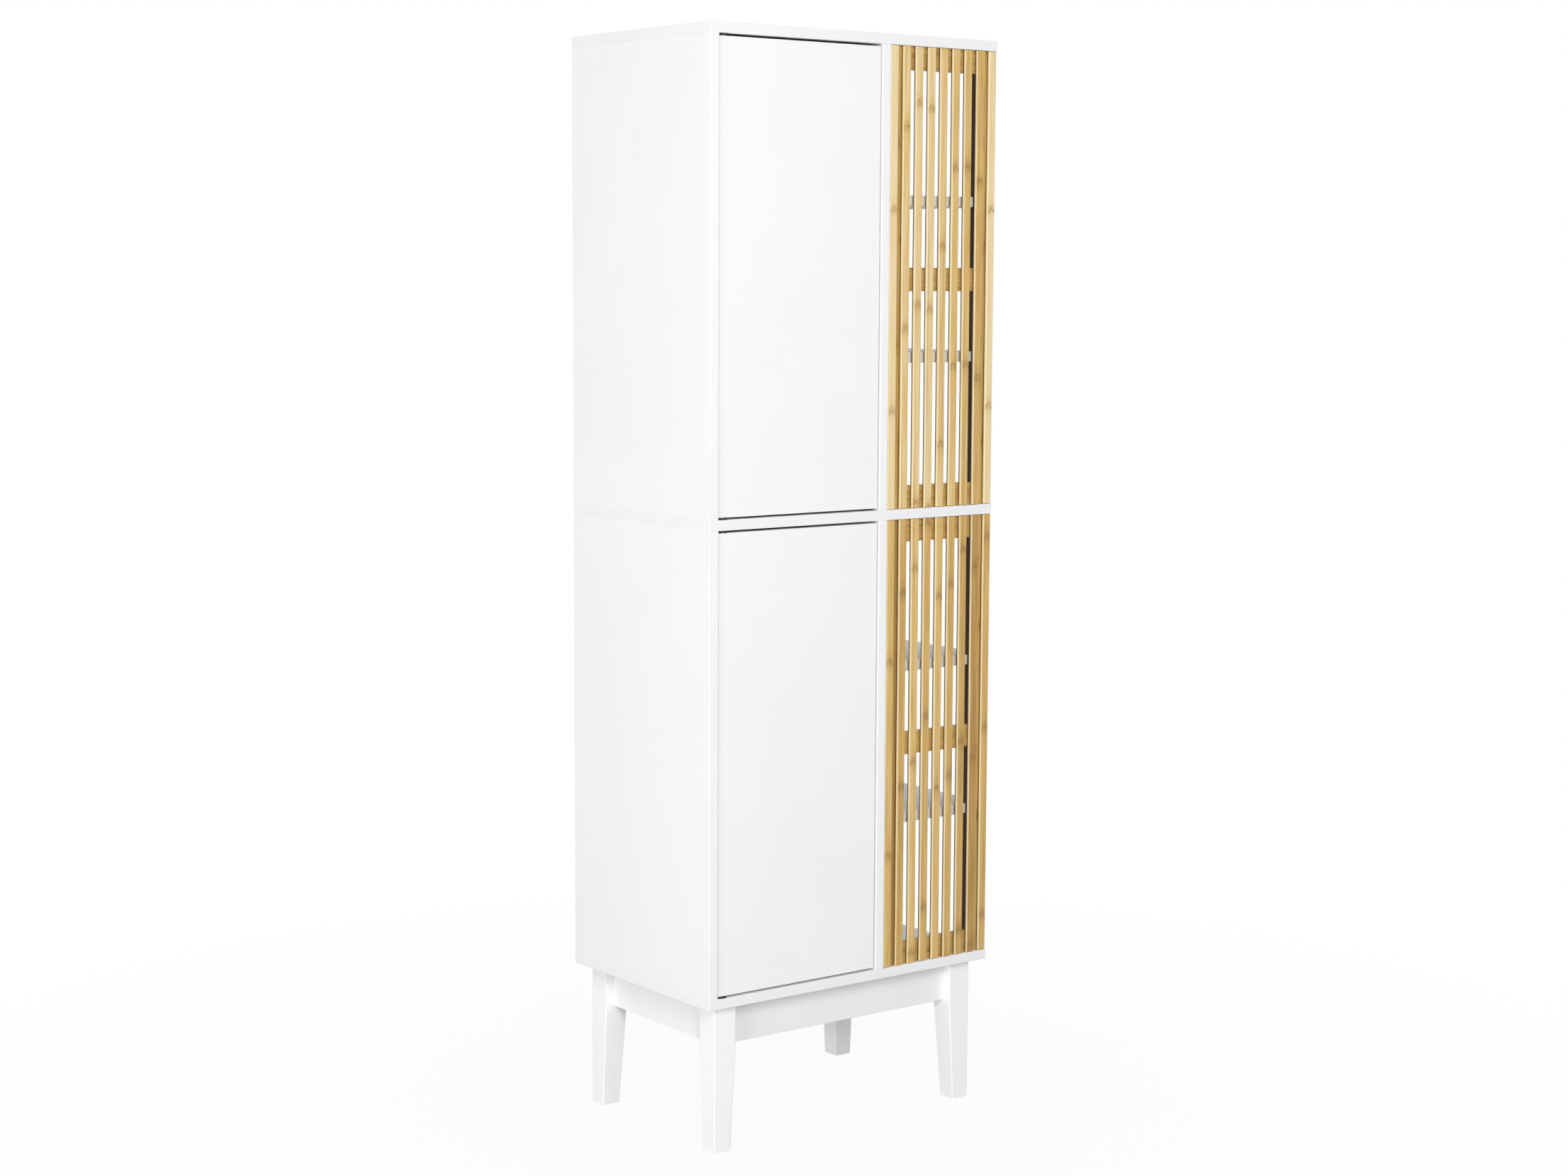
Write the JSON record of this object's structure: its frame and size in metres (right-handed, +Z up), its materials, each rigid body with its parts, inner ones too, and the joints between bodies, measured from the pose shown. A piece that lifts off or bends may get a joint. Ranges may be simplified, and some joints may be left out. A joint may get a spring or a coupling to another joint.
{
  "type": "tall bathroom cabinet",
  "caption": "Tall white bathroom cabinet on tapered legs, with push-to-open doors on the left and open side shelves behind upright bamboo slats on the right.",
  "frame": {"origin": "on the floor, under the middle of the body", "axes": "+Z up, the doors and slats face -Y, +X to the right as seen from the front"},
  "size_m": [0.52, 0.35, 1.6],
  "materials": {
    "white_board": "satin white lacquer on board",
    "white_back": "matt white film on thin board",
    "white_shelf": "satin white lacquer on board",
    "white_door": "satin white lacquer on board",
    "white_base": "satin white paint on timber",
    "bamboo_slat": "clear satin varnish on bamboo",
    "bamboo_frame": "clear satin varnish on bamboo",
    "raw_timber": "bare beech",
    "steel": "zinc plated",
    "nylon": "moulded",
    "latch_tip": "moulded"
  },
  "bodies": {
    "cabinet": {"apron_back": "white_base", "apron_front": "white_base", "apron_left": "white_base", "apron_right": "white_base", "back_panel_lower": "white_back", "back_panel_upper": "white_back", "base_screws": "steel", "board_dowels": "raw_timber", "bottom_board": "white_board", "bracket_screws": "steel", "corner_braces": "raw_timber", "divider_lower": "white_board", "divider_upper": "white_board", "foot_glides": "nylon", "front_post_lower": "bamboo_frame", "front_post_upper": "bamboo_frame", "latch_body_lower": "nylon", "latch_body_upper": "nylon", "left_side_lower": "white_board", "left_side_upper": "white_board", "leg_back_left": "white_base", "leg_back_right": "white_base", "leg_bolts": "steel", "leg_front_left": "white_base", "leg_front_right": "white_base", "leg_nuts": "steel", "lower_left_shelf_high": "white_shelf", "lower_left_shelf_low": "white_shelf", "lower_right_shelf_high": "white_shelf", "lower_right_shelf_low": "white_shelf", "middle_board": "white_board", "pivot_bushes": "nylon", "rails_lower": "bamboo_frame", "rails_upper": "bamboo_frame", "rear_post_lower": "bamboo_frame", "rear_post_upper": "bamboo_frame", "shelf_dowels": "raw_timber", "shelf_pins": "steel", "shelf_screws": "steel", "slats_lower": "bamboo_slat", "slats_upper": "bamboo_slat", "stile_lower": "bamboo_frame", "stile_upper": "bamboo_frame", "top_board": "white_board", "upper_left_shelf_high": "white_shelf", "upper_left_shelf_low": "white_shelf", "upper_right_shelf_high": "white_shelf", "upper_right_shelf_low": "white_shelf", "wall_brackets": "steel"},
    "door_upper": {"door_upper": "white_door", "pivot_pins_upper": "steel", "strike_plate_upper": "steel"},
    "door_lower": {"door_lower": "white_door", "pivot_pins_lower": "steel", "strike_plate_lower": "steel"},
    "latch_plunger_upper": {"latch_plunger_upper": "latch_tip"},
    "latch_plunger_lower": {"latch_plunger_lower": "latch_tip"}
  },
  "joints": [
    {"name": "door_upper_hinge", "type": "hinge", "parent": "cabinet", "child": "door_upper", "pos_m": [-0.233, -0.1675, 1.2505], "axis": [0, 0, -1], "range_deg": [0, 105]},
    {"name": "latch_upper_press", "type": "slide", "parent": "cabinet", "child": "latch_plunger_upper", "axis": [0, 1, 0], "range_m": [0, 0.003], "stiffness_N_per_m": 1500, "springref_m": -0.002},
    {"name": "door_lower_hinge", "type": "hinge", "parent": "cabinet", "child": "door_lower", "pos_m": [-0.233, -0.1675, 0.5665], "axis": [0, 0, -1], "range_deg": [0, 105]},
    {"name": "latch_lower_press", "type": "slide", "parent": "cabinet", "child": "latch_plunger_lower", "axis": [0, 1, 0], "range_m": [0, 0.003], "stiffness_N_per_m": 1500, "springref_m": -0.002}
  ]
}
